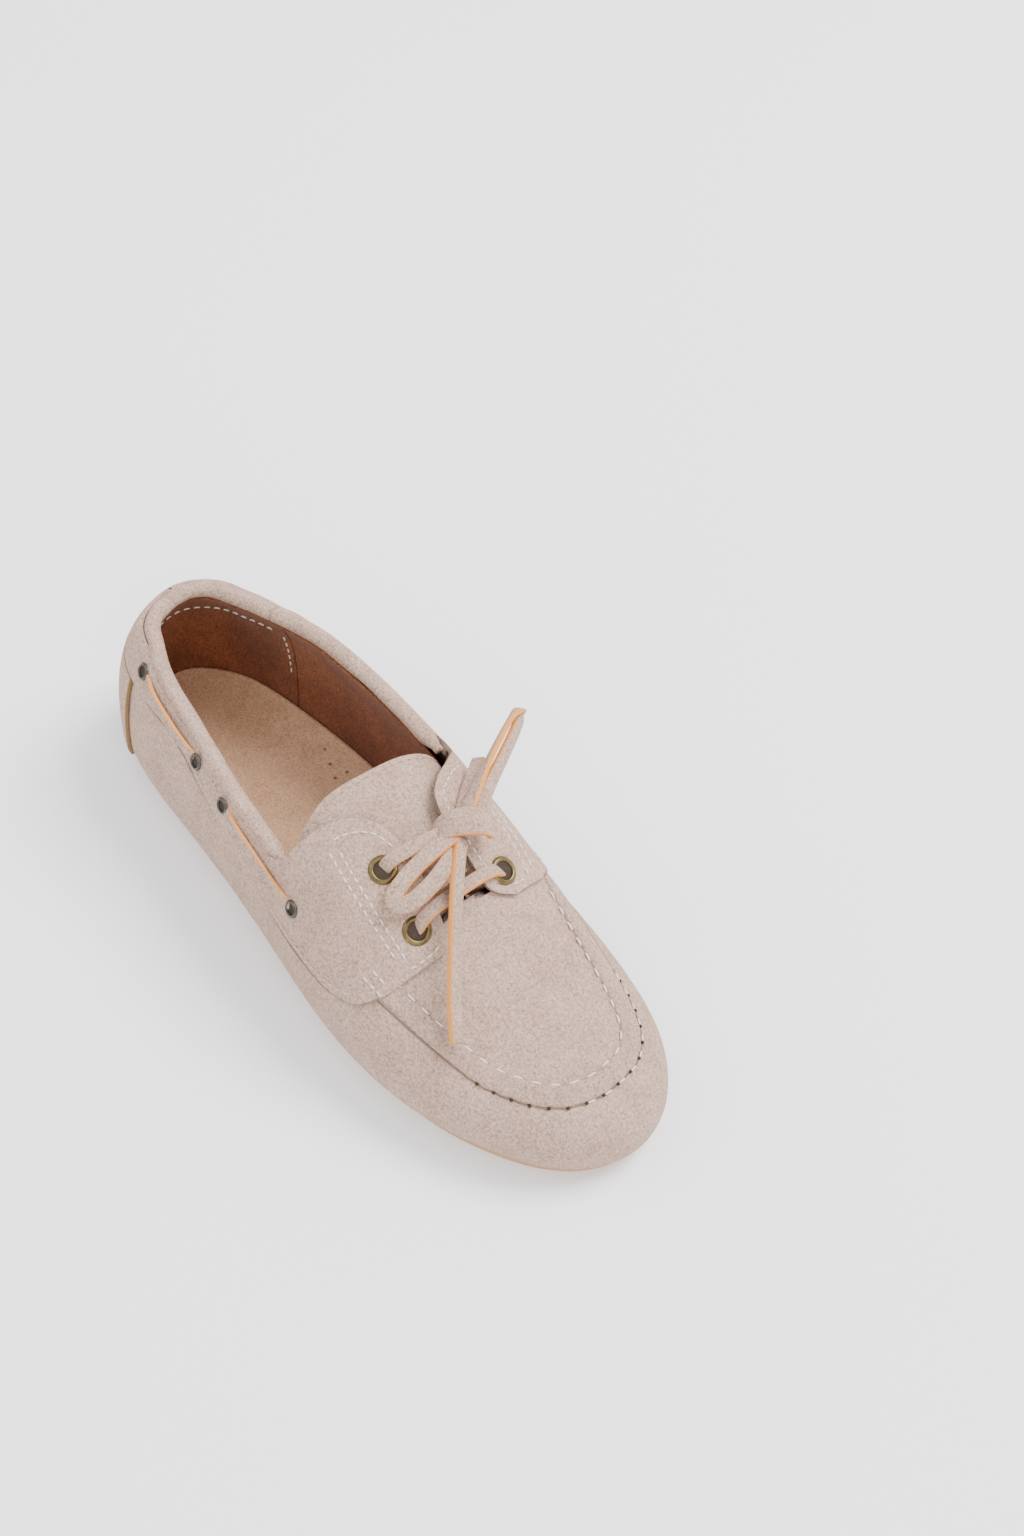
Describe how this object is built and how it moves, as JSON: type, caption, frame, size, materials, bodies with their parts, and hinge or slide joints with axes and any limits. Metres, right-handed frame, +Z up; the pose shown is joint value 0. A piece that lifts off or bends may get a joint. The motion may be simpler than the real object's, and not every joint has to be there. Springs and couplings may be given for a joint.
{
  "type": "moccasin",
  "caption": "Low suede moccasin for the right foot, with a raised seam around the toe, a tied front lace and a side lace run through the collar.",
  "frame": {"origin": "centre of the shoe's footprint box on the ground, free laces left out", "axes": "+X from heel to toe, +Y to the medial side (towards the left foot), +Z up"},
  "size_m": [0.2417, 0.099, 0.07],
  "materials": {
    "suede": "soft napped suede, light taupe",
    "lace_suede": "napped suede strip with tan cut edges",
    "lining": "smooth brown lining leather",
    "footbed_suede": "tan footbed suede with small perforations",
    "gum": "matt tan gum rubber",
    "cork_filler": "cork filler",
    "board": "fibre board",
    "foam": "soft foam",
    "eyelet_brass": "antique brass, burnished",
    "eyelet_dark": "dark antique brass"
  },
  "bodies": {
    "shoe": {"outsole": "gum", "filler": "cork_filler", "insole_board": "board", "footbed_foam": "foam", "footbed_cover": "footbed_suede", "wrap": "suede", "seam_welt": "suede", "plug": "suede", "plug_lining": "lining", "saddle_lateral": "suede", "saddle_medial": "suede", "facing_lateral": "suede", "facing_medial": "suede", "collar": "suede", "lining_heel": "lining", "lining_lateral": "lining", "lining_medial": "lining", "vamp_lining": "lining", "heel_patch": "suede", "heel_counter": "board", "side_lace_lateral": "lace_suede", "side_lace_medial": "lace_suede", "heel_lace": "lace_suede", "bow_knot": "lace_suede", "lace_cross": "lace_suede", "lace_lateral": "lace_suede", "lace_medial": "lace_suede", "bow_loop_front": "lace_suede", "bow_loop_rear": "lace_suede", "lace_end_long": "lace_suede", "lace_end_short": "lace_suede", "front_eyelets": "eyelet_brass", "side_eyelets_lateral": "eyelet_dark", "side_eyelets_medial": "eyelet_dark"},
    "tongue": {"tongue": "suede", "tongue_lining": "lining"}
  },
  "joints": [
    {"name": "tongue_fold", "type": "hinge", "parent": "shoe", "child": "tongue", "pos_m": [0.0366, 0.0045, 0.0485], "axis": [0, 1, 0], "range_deg": [-12, 0], "stiffness_Nm_per_rad": 0.05}
  ]
}
